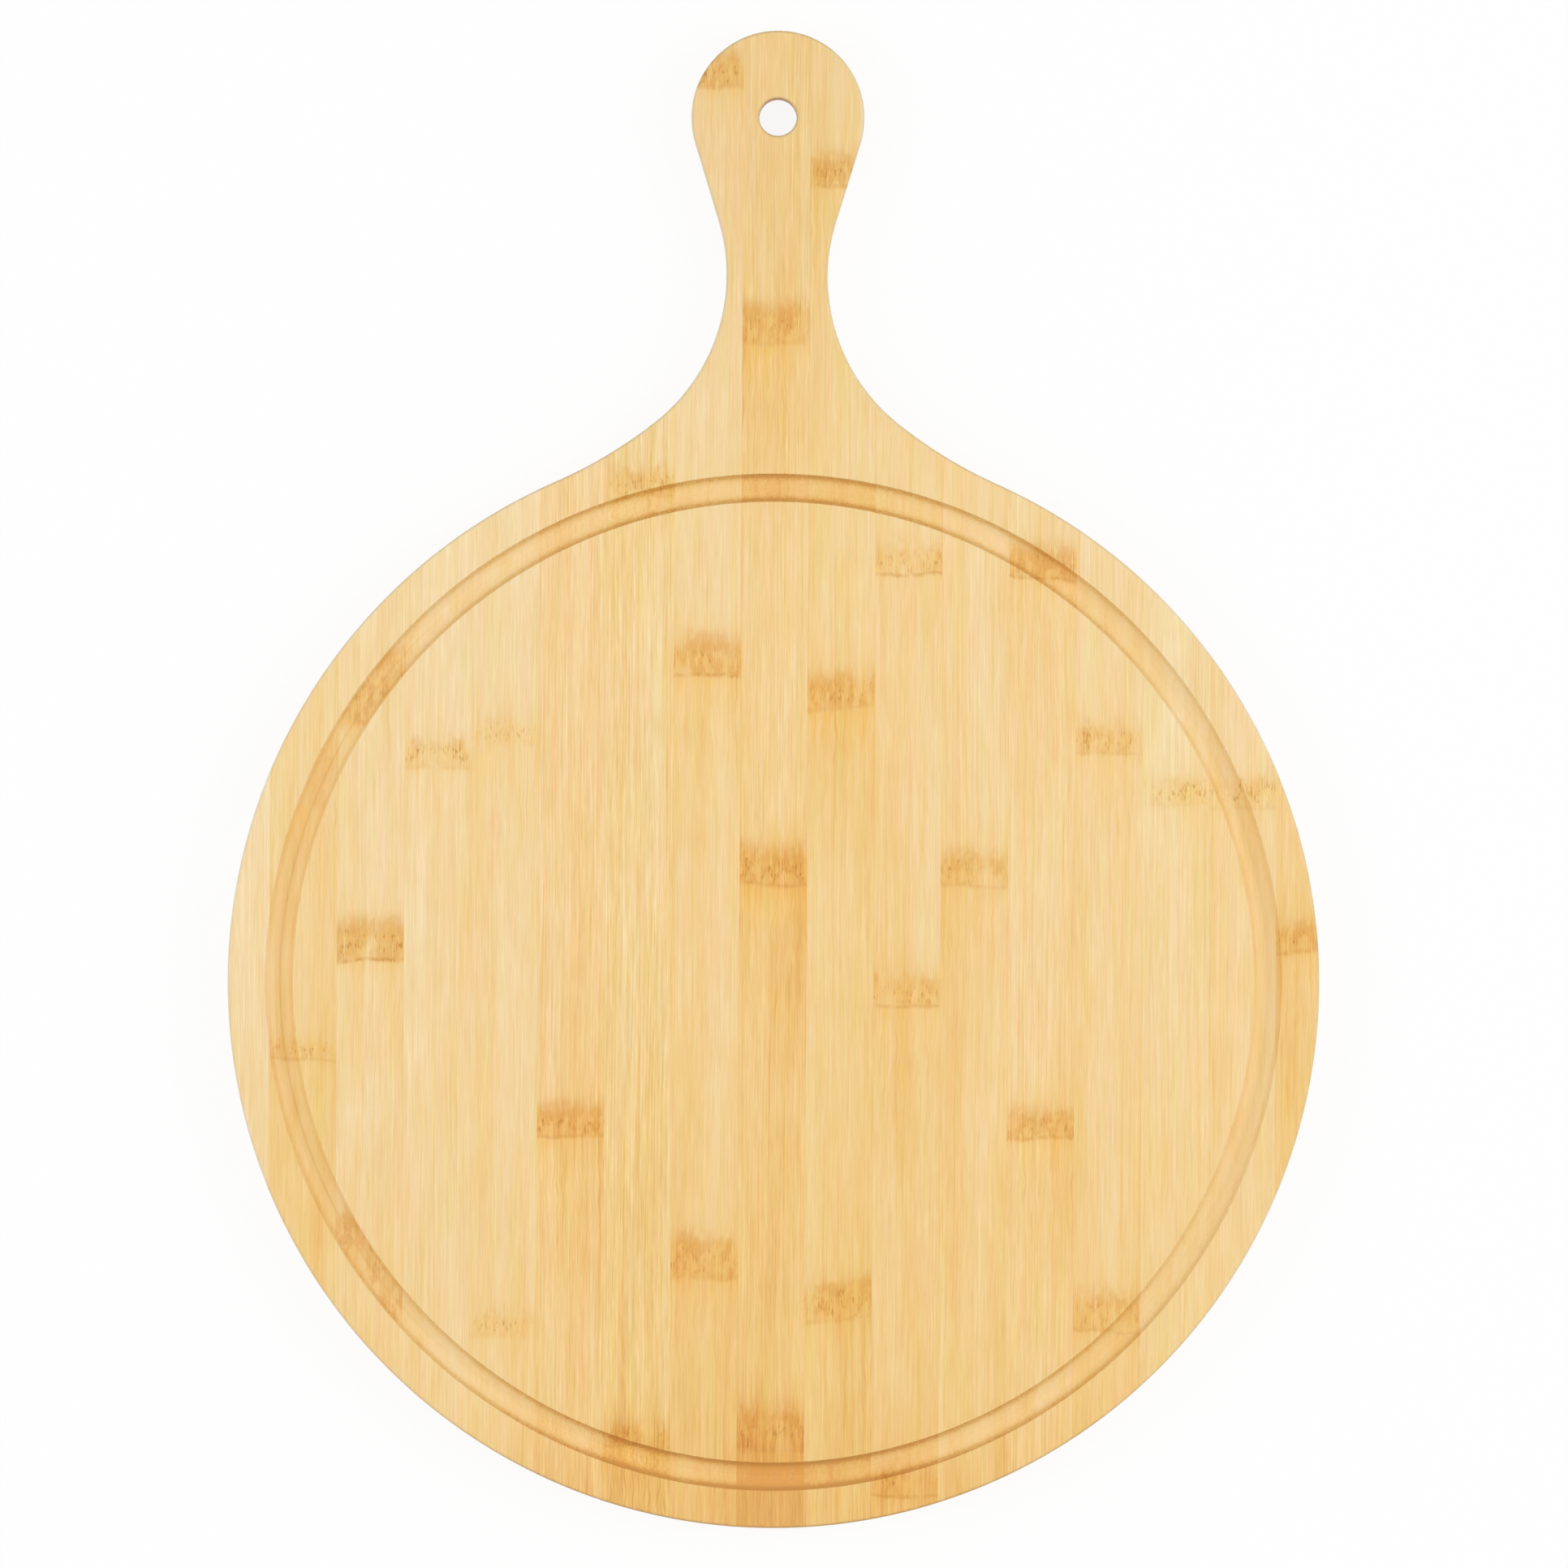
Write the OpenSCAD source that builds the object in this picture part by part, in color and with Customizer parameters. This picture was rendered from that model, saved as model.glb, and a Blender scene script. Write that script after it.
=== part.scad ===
// Round serving board for pizza with a waisted handle, cut from a three-ply bamboo panel.
// Each ply is a row of flat strips glued edge to edge, and the plies are glued face to face.
// The strips of the two face plies run along the handle, and those of the core run across it.
// A shallow groove runs round the top face, and a hole in the handle's head hangs the board up.
// Origin: centre of the round part on the underside, +Y towards the handle, +Z up. Millimetres.

/* [Board] */
// Diameter of the round part
disc_d = 350; // [300:1:400]
// Length of the handle, from the rim of the round part to the tip
handle_l = 130; // [110:1:150]
// Thickness of each face ply
face_t = 4; // [3.5:0.1:8]
// Thickness of the core ply
core_t = 4; // [2:0.1:12]

/* [Handle] */
// Diameter of the handle's round head
head_d = 55.5; // [50:0.5:60]
// Width of the neck at its narrowest
neck_w = 32.5; // [28:0.5:38]
// Angle between the handle's axis and the straight side that widens to the head
taper_angle = 17; // [14:0.5:20]
// Radius of the hollow where a shoulder runs out into the round part
shoulder_r = 150; // [125:1:180]
// Distance between the two places where the shoulders meet the round part
shoulder_w = 142; // [120:1:150]

/* [Hanging hole] */
// Diameter of the hole
hole_d = 12; // [8:0.5:16]
// Height and width of the chamfer at each mouth of the hole
hole_chamfer = 0.5; // [0.2:0.1:1]

/* [Groove] */
// Distance from the rim of the round part to the groove
groove_inset = 12; // [8:0.5:25]
// Width of the groove across its mouth
groove_w = 9; // [7:0.5:14]
// Depth of the groove, less than a face ply
groove_depth = 3; // [1:0.1:3.2]

/* [Strips] */
// Width of the three strips of a face ply that the handle is cut from
handle_strip_w = 21.5; // [20:0.25:23]
// Number of strips of a face ply on either side of the handle's three
side_strips = 7; // [4:1:8]
// Width trimmed off a face ply at either side of the round part
face_trim = 7.75; // [2:0.25:9]
// Number of strips in the core ply, from the foot of the board to its tip
core_strips = 23; // [12:1:24]
// Width trimmed off the core ply, shared between the foot and the tip
core_trim = 14.5; // [8:0.5:20]
// How far the top ply's middle strip lies to the left of the axis
top_shift = 0.25; // [0:0.05:1]
// How far the bottom ply's middle strip lies to the right of the axis
bottom_shift = 1; // [0:0.25:2]

/* [Hidden] */
// Segments of a full circle, how far a cut runs past what it cuts, and how far one curve of
// the outline runs past the next, so that two neighbours cross and never only touch
round_fn = 360;
overrun = 5;
lap = 0.02;

// Heights of the glue joints between the plies, and of the serving face
core_z = face_t;
top_z = face_t + core_t;
board_t = 2 * face_t + core_t;

disc_r = disc_d / 2;
head_r = head_d / 2;
neck_half = neck_w / 2;
tip_y = disc_r + handle_l;
head_y = tip_y - head_r;

// The handle's right side, from the tip down: the head's circle, a straight taper, the neck's
// hollow arc, and the wider hollow arc of the shoulder, which meets the rim of the round part.
// Each curve starts in the direction in which the one before it ends.
taper_out = [cos(taper_angle), -sin(taper_angle)];
taper_top = [0, head_y] + head_r * taper_out;
shoulder_turn = asin(shoulder_w / 2 / disc_r);
shoulder_out = [sin(shoulder_turn), cos(shoulder_turn)];
shoulder_centre = (disc_r + shoulder_r) * shoulder_out;

// The neck's arc rounds the corner between the taper's line and the line of the narrowest
// width. Its centre lies at neck_corner + neck_r * neck_run, and the shoulder's arc touches
// it from outside, which gives a quadratic equation for neck_r.
neck_corner = [neck_half, head_y + (neck_half * cos(taper_angle) - head_r) / sin(taper_angle)];
neck_run = [1, (cos(taper_angle) - 1) / sin(taper_angle)];
corner_to_shoulder = shoulder_centre - neck_corner;
square_term = neck_run * neck_run - 1;
linear_term = 2 * (shoulder_r - corner_to_shoulder * neck_run);
constant_term = corner_to_shoulder * corner_to_shoulder - pow(shoulder_r, 2);
root_term = sqrt(pow(linear_term, 2) - 4 * square_term * constant_term);
neck_r = -2 * constant_term / (linear_term + root_term);
neck_centre = neck_corner + neck_r * neck_run;
taper_foot = neck_centre - neck_r * taper_out;
centres_line = neck_centre - shoulder_centre;
centres_angle = atan2(centres_line[1], centres_line[0]);

// Circle of the cutter that leaves a groove of this width and depth
groove_r = disc_r - groove_inset - groove_w / 2;
groove_cutter_r = (pow(groove_w / 2, 2) + pow(groove_depth, 2)) / (2 * groove_depth);

// Strips of a face ply that the handle is cut from. They keep their width when the round part
// changes, so that the neck never cuts one in two, and the others share what is left.
handle_strips = 3;
face_strips = 2 * side_strips + handle_strips;
side_strip_w = (disc_r + face_trim - handle_strips * handle_strip_w / 2) / side_strips;

// The core strip that has the hanging hole at its middle, counted from the tip
hole_strip = 2;
core_strip_w = (disc_r + tip_y + core_trim) / core_strips;

// Glue line number i of a face ply whose middle strip lies at home, counted from the left, and
// of the core, counted from the foot. The outermost strips run past the rim.
function handle_part(strips) = max(-handle_strips / 2, min(handle_strips / 2, strips));
function side_part(strips) = strips - handle_part(strips);
function glue_x(i, home) =
    i == 0 ? -disc_r - overrun
    : i == face_strips ? disc_r + overrun
    : home + handle_part(i - face_strips / 2) * handle_strip_w
        + side_part(i - face_strips / 2) * side_strip_w;
function glue_y(i) =
    i == 0 ? -disc_r - overrun
    : i == core_strips ? tip_y + overrun
    : head_y + (i - core_strips + hole_strip - 1 / 2) * core_strip_w;

function two_digits(number) = number < 10 ? str("0", number) : str(number);
TOP_STRIPS = [for (i = [1:face_strips]) str("top_strip_", two_digits(i))];
CORE_STRIPS = [for (i = [1:core_strips]) str("core_strip_", two_digits(i))];
BOTTOM_STRIPS = [for (i = [1:face_strips]) str("bottom_strip_", two_digits(i))];

// Tones of the strips from left to right and from foot to tip: 0 pale, 1 honey, 2 amber
BAMBOO = [[0.95, 0.85, 0.64], [0.93, 0.79, 0.55], [0.89, 0.70, 0.42]];
TOP_TONES = [0, 0, 0, 0, 0, 2, 1, 1, 2, 1, 1, 1, 0, 1, 0, 0, 2];
CORE_TONES = [1, 0, 1, 2, 0, 1];
BOTTOM_TONES = [0, 1, 0, 2, 1, 0, 1];
function tone(tones, i) = BAMBOO[tones[i % len(tones)]];

// Half of the handle, from the axis to its right edge
module half_handle() {
    difference() {
        polygon([
            [0, 0],
            shoulder_centre - (shoulder_r - overrun) * shoulder_out,
            neck_centre,
            taper_foot - lap * taper_out,
            taper_top - lap * taper_out,
            [0, head_y]
        ]);
        translate(neck_centre)
            circle(r = neck_r + 2 * lap, $fn = round_fn);
        intersection() {
            translate(shoulder_centre)
                circle(r = shoulder_r + lap, $fn = round_fn);
            translate(shoulder_centre)
                rotate(centres_angle)
                    square(2 * shoulder_r);
        }
    }
}

module outline() {
    circle(r = disc_r, $fn = round_fn);
    translate([0, head_y])
        circle(r = head_r, $fn = round_fn);
    half_handle();
    mirror([1, 0])
        half_handle();
}

module groove() {
    rotate_extrude($fn = round_fn)
        translate([groove_r, board_t - groove_depth + groove_cutter_r])
            circle(r = groove_cutter_r, $fn = round_fn);
}

module hanging_hole() {
    mouth_r = hole_d / 2 + hole_chamfer;
    translate([0, head_y, -overrun])
        cylinder(d = hole_d, h = board_t + 2 * overrun, $fn = round_fn);
    translate([0, head_y, board_t - hole_chamfer])
        cylinder(r1 = hole_d / 2, r2 = mouth_r, h = hole_chamfer, $fn = round_fn);
    translate([0, head_y, 0])
        cylinder(r1 = mouth_r, r2 = hole_d / 2, h = hole_chamfer, $fn = round_fn);
}

// The glued panel after all the cutting, between two heights
module cut_panel(low_z, thickness) {
    difference() {
        translate([0, 0, low_z])
            linear_extrude(height = thickness)
                outline();
        groove();
        hanging_hole();
    }
}

// Strip i of a face ply, the part of the panel between two glue lines
module face_strip(i, low_z, home) {
    low_x = glue_x(i, home);
    intersection() {
        cut_panel(low_z, face_t);
        translate([low_x, -disc_r - overrun, low_z])
            cube([glue_x(i + 1, home) - low_x, disc_r + tip_y + 2 * overrun, face_t]);
    }
}

module top_strip(i) {
    color(tone(TOP_TONES, i))
        face_strip(i, top_z, -top_shift);
}

module bottom_strip(i) {
    color(tone(BOTTOM_TONES, i))
        face_strip(i, 0, bottom_shift);
}

module core_strip(i) {
    low_y = glue_y(i);
    color(tone(CORE_TONES, i))
        intersection() {
            cut_panel(core_z, core_t);
            translate([-disc_r - overrun, low_y, core_z])
                cube([disc_d + 2 * overrun, glue_y(i + 1) - low_y, core_t]);
        }
}

for (i = [0:face_strips - 1])
    top_strip(i);
for (i = [0:core_strips - 1])
    core_strip(i);
for (i = [0:face_strips - 1])
    bottom_strip(i);
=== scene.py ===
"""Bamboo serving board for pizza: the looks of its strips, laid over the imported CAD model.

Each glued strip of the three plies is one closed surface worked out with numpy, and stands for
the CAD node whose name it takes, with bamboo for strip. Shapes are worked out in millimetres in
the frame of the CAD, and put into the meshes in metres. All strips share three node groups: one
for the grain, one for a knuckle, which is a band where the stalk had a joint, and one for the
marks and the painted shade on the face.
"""

import math
from collections import namedtuple
from types import SimpleNamespace

import bmesh
import bpy
import numpy as np
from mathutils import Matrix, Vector


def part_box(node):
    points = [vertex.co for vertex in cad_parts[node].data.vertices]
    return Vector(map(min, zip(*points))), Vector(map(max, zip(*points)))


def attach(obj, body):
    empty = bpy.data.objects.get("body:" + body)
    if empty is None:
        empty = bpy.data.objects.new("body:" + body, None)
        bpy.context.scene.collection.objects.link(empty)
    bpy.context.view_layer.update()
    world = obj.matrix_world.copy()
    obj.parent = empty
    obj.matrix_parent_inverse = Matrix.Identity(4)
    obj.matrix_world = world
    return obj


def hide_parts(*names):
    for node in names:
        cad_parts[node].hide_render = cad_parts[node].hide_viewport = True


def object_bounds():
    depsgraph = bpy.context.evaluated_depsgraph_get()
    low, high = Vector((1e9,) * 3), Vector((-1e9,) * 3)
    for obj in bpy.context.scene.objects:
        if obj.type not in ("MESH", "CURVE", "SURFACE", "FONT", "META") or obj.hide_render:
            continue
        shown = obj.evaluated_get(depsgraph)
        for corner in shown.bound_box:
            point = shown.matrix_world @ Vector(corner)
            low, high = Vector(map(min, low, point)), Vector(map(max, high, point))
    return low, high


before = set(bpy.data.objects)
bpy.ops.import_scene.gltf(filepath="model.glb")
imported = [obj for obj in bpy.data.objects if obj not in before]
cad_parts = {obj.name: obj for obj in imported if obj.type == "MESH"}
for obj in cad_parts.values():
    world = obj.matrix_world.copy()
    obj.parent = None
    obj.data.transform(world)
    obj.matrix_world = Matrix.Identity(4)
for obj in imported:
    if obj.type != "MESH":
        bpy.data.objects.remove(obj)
CAD_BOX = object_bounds()

bl_info = {
    "name": "Bamboo serving board",
    "version": (1, 0, 0),
    "blender": (4, 5, 0),
    "location": "View3D > Sidebar > Board",
    "description": "Builds the strips of a glued bamboo serving board with a hanging handle",
    "category": "Add Mesh",
}

MM = 0.001

# Meshing, with lengths in millimetres
ARC_STEP = 1.2  # length of an edge along the outline and the groove
LEAST_STEPS = 6  # fewest steps along a run, however short it is
# How much finer the steps are than a strip's own width or height needs, because its rim slants:
# along the lower rim of a face strip, along the sides of a core strip, and again along the foot
LOW_RIM_FINER, CORE_FINER, FOOT_FINER = 1.6, 2.5, 3
ARRIS_STEPS = 8  # edges across a rounded arris
HOLE_POINTS = 49  # points on half a ring round the hanging hole
WELD_DECIMALS = 4  # corners this close, as decimals of a millimetre, are one corner
TINY = 1e-9  # slack where a place has to reach a limit
SAME = 1e-6  # two places that are closer than this are the same
BEYOND = 1.0  # how far the outermost strips would run past the rim, before they are cut
SMOOTH_ANGLE = math.radians(32)
END_GRAIN = "end_grain"  # name of the attribute that says how squarely the fibres are cut
CUT_FROM, CUT_FULL = 0.35, 0.9  # cosines at which that starts, and at which it is full


def nodes_of(ply):
    """Names of a ply's CAD nodes, from left to right or from foot to tip."""
    return sorted(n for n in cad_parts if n.startswith(ply + "_strip"))


def node_box(node):
    """Lowest and highest corner of a CAD node in millimetres, to the micrometre."""
    low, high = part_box(node)
    return np.round(np.array(low) / MM, 3), np.round(np.array(high) / MM, 3)


TOP_NODES, CORE_NODES, BOTTOM_NODES = (nodes_of(ply) for ply in ("top", "core", "bottom"))
# Width of a strip and thickness of a ply, both of the top ply's middle strip
MIDDLE_STRIP = np.diff(node_box(TOP_NODES[len(TOP_NODES) // 2]), axis=0)[0]
STRIP_W, PLY_T = float(MIDDLE_STRIP[0]), float(MIDDLE_STRIP[2])
BOARD_T = 3 * PLY_T

# A knuckle: the place of its middle along the grain, the height and the tilt of its band, how
# strong the band is, its dashes, the line along its lower edge, the glow below it, how far it
# arches, and 1 for a band that lies deep and shows in the groove only
Knuckle = namedtuple("Knuckle", "y size tilt strong dashes line glow arch deep", defaults=(0, 0))
KNUCKLE_SPACING = 188.0  # from one joint of the stalk to the next
CORE_REACH = 190.0  # how far to both sides of the handle's axis the core may have knuckles

# A strip's looks: its tone, which is 0 for pale, 0.5 for honey and 0.86 for amber, its
# knuckles, a hue that leans to straw above 0 and to rose below, how far its fine lines stand
# out, and the tone added where the groove lays its heart bare
Strip = namedtuple("Strip", "tone knuckles hue figure heart", defaults=((), 0.0, 1.0, 0.0))

# Number of the first strip of each ply, which places its grain
TOP_SEED, BOTTOM_SEED, CORE_SEED = 1.0, 41.0, 71.0
# Shares that spread numbers evenly when they are counted up: 1 / the golden ratio, 1 / the
# plastic number, and 1 / its square
SPREADS = (0.618034, 0.7548777, 0.5698403)

# The top ply from left to right
TOP_LOOKS = (
    Strip(0.1),
    Strip(0.48, (
        Knuckle(-22.6, 7, 0, 0.35, 0.6, 0.4, 0.1),
        Knuckle(68, 26, 0, 0.3, 0.1, 0, 0.8, 0, 1),
    ), hue=0.15),
    Strip(0.22, (
        Knuckle(11.6, 11.5, 0.07, 1.1, 0.9, 1, 0.3),
        Knuckle(94, 24, 0, 0.7, 0.2, 0, 0.3, 0, 1),
        Knuckle(-92, 34, 0, 0.8, 0.2, 0, 0.3, 0, 1),
    )),
    Strip(0.17, (Knuckle(71.8, 9, 0, 0.5, 0.6, 0.15, 0.2),)),
    Strip(0.2, (
        Knuckle(79.7, 9, 0.15, 0.3, 0.6, 0, 0.3, -3),
        Knuckle(-111, 7.5, 0, 0.3, 0.5, 0, 0.1),
    )),
    Strip(0.48, (Knuckle(-45.8, 9, 0, 0.9, 0.6, 0.5, 0.4),), hue=-0.25, figure=1.5),
    Strip(0.4, (
        Knuckle(159, 8.5, 0.1, 0.6, 0.6, 0.3, 0.15),
        Knuckle(-146.3, 6.5, 0, 0.6, 0.4, 0.3, 0.6),
    ), hue=0.25, figure=1.8, heart=0.1),
    Strip(0.43, (
        Knuckle(291.3, 10, -0.05, 1, 0.9, 0.2, 0.3),
        Knuckle(103.2, 11, 0, 0.9, 0.4, 0.7, 0.5),
        Knuckle(-89.5, 12, 0, 0.75, 0.5, 0.1, 0.4),
    )),
    Strip(0.6, (
        Knuckle(209.7, 11, 0, 0.75, 0.35, 0.1, 0.7),
        Knuckle(36.2, 11, 0, 0.8, 0.6, 0.5, 0.9),
        Knuckle(-144.3, 13, 0, 0.7, 0.7, 0.2, 0.8),
    ), figure=1.3, heart=0.25),
    Strip(0.49, (
        Knuckle(259.6, 9, 0.05, 0.8, 0.6, 0.5, 0.5),
        Knuckle(92.4, 10, 0.12, 0.8, 0.6, 0.2, 0.8),
        Knuckle(-102.9, 12, 0.1, 0.65, 0.5, 0.2, 0.3),
    ), hue=0.2, heart=0.3),
    Strip(0.44, (
        Knuckle(134.9, 9, 0.03, 0.5, 0.5, 0.8, 0.2),
        Knuckle(-3.6, 9.4, 0, 0.5, 0.7, 0.6, 0.5),
        Knuckle(-161, 8, 0, 0.6, 0.4, 0.6, 0.3),
    )),
    Strip(0.44, (Knuckle(35.2, 9.5, 0, 0.75, 0.5, 0.4, 0.4),), heart=-0.2),
    Strip(0.38, (
        Knuckle(133.8, 9, -0.05, 0.9, 0.3, 0.6, 0.4),
        Knuckle(-46.3, 8, 0, 0.75, 0.4, 0.6, 0.5),
    ), hue=-0.1, figure=1.2),
    Strip(0.4, (
        Knuckle(78, 9, 0, 0.6, 0.5, 0.3, 0.3),
        Knuckle(-106.6, 11.5, -0.1, 0.6, 0.4, 0.4, 0.3),
    )),
    Strip(0.21, (Knuckle(61.3, 9, 0, 0.3, 0.8, 0.1, 0.15),), hue=0.2),
    Strip(0.3, (Knuckle(60.7, 10, 0, 0.3, 0.7, 0.2, 0.2),)),
    Strip(0.6, (Knuckle(13.9, 8, 0, 0.75, 0.4, 0.4, 0.3),)),
)

# The stage, in metres. The light on the board's face adds up to 1, a plain white light: a
# share comes from all round, and a share from each of two soft lights, given with its place.
WORLD_SHARE = 0.60
SOFT_LIGHTS = (("right light", (2.6, 0.3, 1.9), 0.22), ("left light", (-2.6, 0.1, 1.9), 0.18))
LIGHT_W = 1.7
FLOOR_REACH = 6.0  # from the board to the floor's edge
FLOOR_GREY = 0.95  # share of the light that the floor throws back
FLOOR_WHITE = 0.9  # share of plain white in what the camera sees of the floor
SENSOR_W = 36.0
VIEW_W = 0.5025  # width of the photo at the board's face
CAMERA_HEIGHT = 4.5  # above the board's face
CAMERA_PLACE = (0.00305, 0.06354)
CAMERA_ROLL = math.radians(0.301)
CLIP_END = 50.0


def length(name, description, default):
    """A size in metres that a user can change."""
    return bpy.props.FloatProperty(
        name=name, description=description, default=default, min=0.0, max=1.0,
        unit="LENGTH", subtype="DISTANCE", precision=5,
    )


def shade(name, description, default):
    """A colour that a user can change."""
    return bpy.props.FloatVectorProperty(
        name=name, description=description, default=default, min=0, max=2, size=3,
        subtype="COLOR",
    )


def srgb(*levels):
    """Linear colour of a display colour from 0 to 255: ((c + 0.055) / 1.055) ^ 2.4, or c / 12.92
    where it is dark."""
    c = np.array(levels) / 255
    return tuple(np.where(c > 0.04045, ((c + 0.055) / 1.055) ** 2.4, c / 12.92).tolist())


class BoardSizes(bpy.types.PropertyGroup):
    """Sizes of the board's outline, hole and groove, as in the CAD model, and of the rounded
    edges, which are sharp or bevelled there."""

    disc_r: length("Disc radius", "Radius of the round part", -CAD_BOX[0].y)
    head_r: length("Head radius", "Radius of the handle's round head", 0.02775)
    neck_w: length("Neck width", "Width of the neck at its narrowest", 0.0325)
    taper_angle: bpy.props.FloatProperty(
        name="Taper", description="Angle between the handle's axis and its straight side",
        default=math.radians(17), subtype="ANGLE",
    )
    shoulder_r: length("Shoulder radius", "Radius of the hollow that meets the disc", 0.15)
    shoulder_w: length("Shoulder width", "Distance between the ends of the hollows", 0.142)
    arris_r: length("Edge rounding", "Radius of the eased edge all round", 0.0012)
    hole_r: length("Hole radius", "Radius of the hanging hole", 0.006)
    hole_arris_r: length("Hole rounding", "Radius of the eased mouths of the hole", 0.0007)
    groove_inset: length("Groove inset", "From the rim of the disc to the groove", 0.012)
    groove_w: length("Groove width", "Width of the groove across its mouth", 0.009)
    groove_depth: length("Groove depth", "Depth of the groove", 0.003)
    groove_arris_r: length("Groove rounding", "Radius of the groove's eased rims", 0.0004)


class BoardColours(bpy.types.PropertyGroup):
    """Colours of the bamboo, and tints that multiply them."""

    palest: shade("Palest fibres", "Lightest streaks", srgb(252, 232, 190))
    pale: shade("Pale bamboo", "Pale strips", srgb(245, 217, 166))
    honey: shade("Honey bamboo", "Most of the face", srgb(243, 206, 141))
    amber: shade("Amber bamboo", "Darker strips", srgb(240, 197, 123))
    brown: shade("Brown bamboo", "Darker fibres", srgb(235, 184, 106))
    burnt: shade("Burnt bamboo", "Darkest fibres", srgb(226, 168, 92))
    straw: shade("Straw", "Multiplies the yellower streaks", (0.975, 1.015, 0.89))
    rose: shade("Rose", "Multiplies the rosier streaks", (1.02, 0.965, 1.02))
    knuckle: shade("Knuckle", "Multiplies a band where the stalk had a joint", (0.975, 0.89, 0.70))
    smoke: shade("Smoke", "Multiplies the browner parts of a knuckle", (0.92, 0.81, 0.68))
    dash: shade("Dashes", "Multiplies the dark dashes in a knuckle", (0.77, 0.65, 0.48))
    fleck: shade("Flecks", "Multiplies the pale flecks in a knuckle", (1.05, 1.05, 0.82))
    glow: shade("Glow", "Multiplies the bamboo just below a knuckle", (1.02, 0.94, 0.68))
    # Greyer and cooler on the eased edges, and a quarter as much on the sides
    cool_edge_tint: shade("Cool edge tint", "Multiplies the eased edges and the sides", (0.87, 0.965, 1.2))


# The board's outline


def steps_for(run):
    """Number of steps along a run of this length, each about ARC_STEP long."""
    return max(LEAST_STEPS, round(run / ARC_STEP))


def arc(centre, radius, start, end, count):
    """Points on a circle: centre + radius * (cos a, sin a), with a running from start to end."""
    angles = np.linspace(start, end, count)
    return centre + radius * np.stack([np.cos(angles), np.sin(angles)], axis=1)


class Outline:
    """The board's edge. Its right side runs from the tip to the foot through the head's circle,
    a straight taper, the neck's hollow arc, the shoulder's hollow arc and the disc's circle,
    each tangent to the next. At an inset e the convex arcs have radius r - e, and the hollow
    ones r + e, about the same centres, so the whole edge moves inwards by e."""

    DENSITY = 20  # points per millimetre of the edge
    TAPER_POINTS = 600  # points along the straight taper
    REACH_POINTS = 400  # points that measure the length of a stretch of the edge

    def __init__(self, sizes):
        self.disc_r = sizes.disc_r / MM
        self.head_r = sizes.head_r / MM
        self.shoulder_r = sizes.shoulder_r / MM
        neck_half = sizes.neck_w / MM / 2
        taper = sizes.taper_angle
        self.head = np.array([0.0, CAD_BOX[1].y / MM - self.head_r])
        turn = math.asin(sizes.shoulder_w / MM / 2 / self.disc_r)
        self.shoulder = (self.disc_r + self.shoulder_r) * np.array(
            [math.sin(turn), math.cos(turn)]
        )
        # The neck's centre lies at corner + r * run, and its arc touches the shoulder's from
        # inside, so |centre - shoulder| = shoulder_r - r, a quadratic equation for r.
        drop = (neck_half * math.cos(taper) - self.head_r) / math.sin(taper)
        corner = np.array([neck_half, self.head[1] + drop])
        run = np.array([1.0, (math.cos(taper) - 1) / math.sin(taper)])
        gap = self.shoulder - corner
        square = run @ run - 1
        linear = 2 * (self.shoulder_r - gap @ run)
        constant = gap @ gap - self.shoulder_r**2
        root = math.sqrt(linear**2 - 4 * square * constant)
        self.neck_r = -2 * constant / (linear + root)
        self.neck = corner + self.neck_r * run
        join = math.atan2(*(self.neck - self.shoulder)[::-1]) + 2 * math.pi
        # Centre, radius, -1 where the edge bulges and 1 where it is hollow, and the two ends
        self.parts = (
            (self.head, self.head_r, -1, math.pi / 2, -taper),
            (self.neck, self.neck_r, 1, math.pi - taper, join),
            (self.shoulder, self.shoulder_r, 1, join, 1.5 * math.pi - turn),
            (np.zeros(2), self.disc_r, -1, math.pi / 2 - turn, -math.pi / 2),
        )
        self.kept = {}

    def side(self, inset):
        """Dense points of the right side at an inset, from the tip to the foot."""
        if inset not in self.kept:
            runs = [
                arc(c, r + sign * inset, a, b, int(abs(b - a) * r * self.DENSITY))
                for c, r, sign, a, b in self.parts
            ]
            taper = np.linspace(runs[0][-1], runs[1][0], self.TAPER_POINTS)[1:-1]
            self.kept[inset] = np.concatenate([runs[0], taper, *runs[1:]])
        return self.kept[inset]

    def crossing(self, x, inset):
        """Signed place along the edge, counted from the tip, where it first reaches x, or the
        disc's widest point where x is beyond it."""
        side = self.side(inset)
        reached = np.flatnonzero(side[:, 0] >= abs(x) - TINY)
        if len(reached):
            i, values, goal = reached[0], side[:, 0], abs(x)
        else:
            values, goal = -side[:, 1], 0.0
            i = np.flatnonzero(values >= goal)[0]
        if i == 0:
            return 0.0
        place = i - 1 + (goal - values[i - 1]) / (values[i] - values[i - 1])
        return math.copysign(place, x)

    def row(self, low_x, high_x, inset, count):
        """Points on the edge at an inset from low_x to high_x, by way of the handle's side:
        evenly spaced places along it, each between two dense points."""
        side = self.side(inset)
        ends = self.crossing(low_x, inset), self.crossing(high_x, inset)
        places = np.linspace(*ends, count)
        index = np.arange(len(side))
        x = np.sign(places) * np.interp(np.abs(places), index, side[:, 0])
        y = np.interp(np.abs(places), index, side[:, 1])
        return np.stack([x, y], axis=1)

    def reach(self, low_x, high_x):
        """Length of the edge from low_x to high_x."""
        row = self.row(low_x, high_x, 0.0, self.REACH_POINTS)
        return float(np.linalg.norm(np.diff(row, axis=0), axis=1).sum())

    def half_width(self, y):
        """Half the board's width at a height y."""
        side = self.side(0.0)
        return np.interp(-y, -side[:, 1], side[:, 0])


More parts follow.
